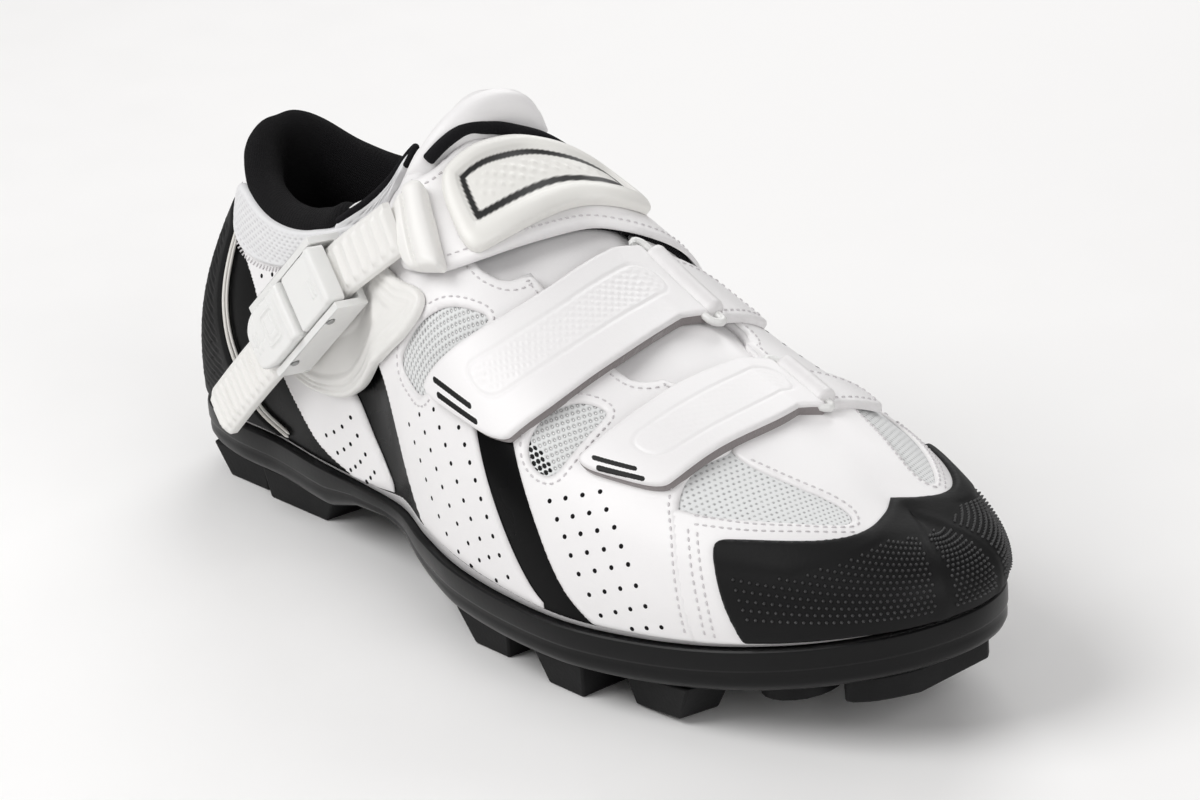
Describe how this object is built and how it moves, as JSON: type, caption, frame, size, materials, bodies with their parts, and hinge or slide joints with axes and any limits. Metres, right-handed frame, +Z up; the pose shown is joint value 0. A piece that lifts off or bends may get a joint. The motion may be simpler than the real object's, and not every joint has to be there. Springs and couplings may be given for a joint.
{
  "type": "cycling shoe",
  "caption": "Right-foot cycling shoe with hollow upper, stiff lugged sole, three straps and a ratchet buckle.",
  "frame": {"origin": "on the floor, under the middle of the shoe's bounding box", "axes": "+X towards the toe, +Y towards the wearer's left, +Z up"},
  "size_m": [0.282, 0.097, 0.1272],
  "materials": {
    "white_synthetic": "smooth coated synthetic, white",
    "black_gloss": "glossy coated synthetic, black",
    "cuff_mesh": "woven mesh, white",
    "lining": "ribbed knit, black",
    "black_rubber": "matte rubber, black",
    "white_plastic": "moulded plastic, white",
    "steel": "bare steel"
  },
  "bodies": {
    "root": {"arch_tread": "black_rubber", "buckle_base": "white_plastic", "buckle_body": "white_plastic", "buckle_cover": "white_plastic", "buckle_lever": "white_plastic", "cleat_nut_plate": "steel", "collar_cuff_lateral": "cuff_mesh", "collar_cuff_medial": "cuff_mesh", "collar_padding": "lining", "cover_pin": "steel", "forefoot_lug_lateral_front": "black_rubber", "forefoot_lug_lateral_middle": "black_rubber", "forefoot_lug_lateral_rear": "black_rubber", "forefoot_lug_medial_front": "black_rubber", "forefoot_lug_medial_middle": "black_rubber", "forefoot_lug_medial_rear": "black_rubber", "heel_counter": "black_rubber", "heel_lug_lateral_front": "black_rubber", "heel_lug_lateral_rear": "black_rubber", "heel_lug_medial_front": "black_rubber", "heel_lug_medial_rear": "black_rubber", "insole": "lining", "instep_strap": "white_synthetic", "ladder_bracket": "white_plastic", "ladder_strap": "white_plastic", "lateral_panel_front": "white_synthetic", "lateral_panel_middle": "white_synthetic", "lateral_panel_rear": "white_synthetic", "lateral_rail": "black_rubber", "lever_pin": "steel", "lower_keeper": "white_synthetic", "lower_ring": "steel", "lower_strap": "white_synthetic", "medial_panel_front": "black_gloss", "medial_panel_rear": "black_gloss", "medial_rail": "black_rubber", "middle_keeper": "white_synthetic", "middle_ring": "steel", "middle_strap": "white_synthetic", "sole_plate": "black_rubber", "strap_badge": "white_plastic", "stud_disc_lateral": "black_rubber", "stud_disc_medial": "black_rubber", "stud_insert_lateral": "steel", "stud_insert_medial": "steel", "toe_cap": "black_rubber", "toe_lug": "black_rubber", "tongue": "white_synthetic", "upper": "white_synthetic", "vamp_overlay": "white_synthetic"}
  },
  "joints": []
}
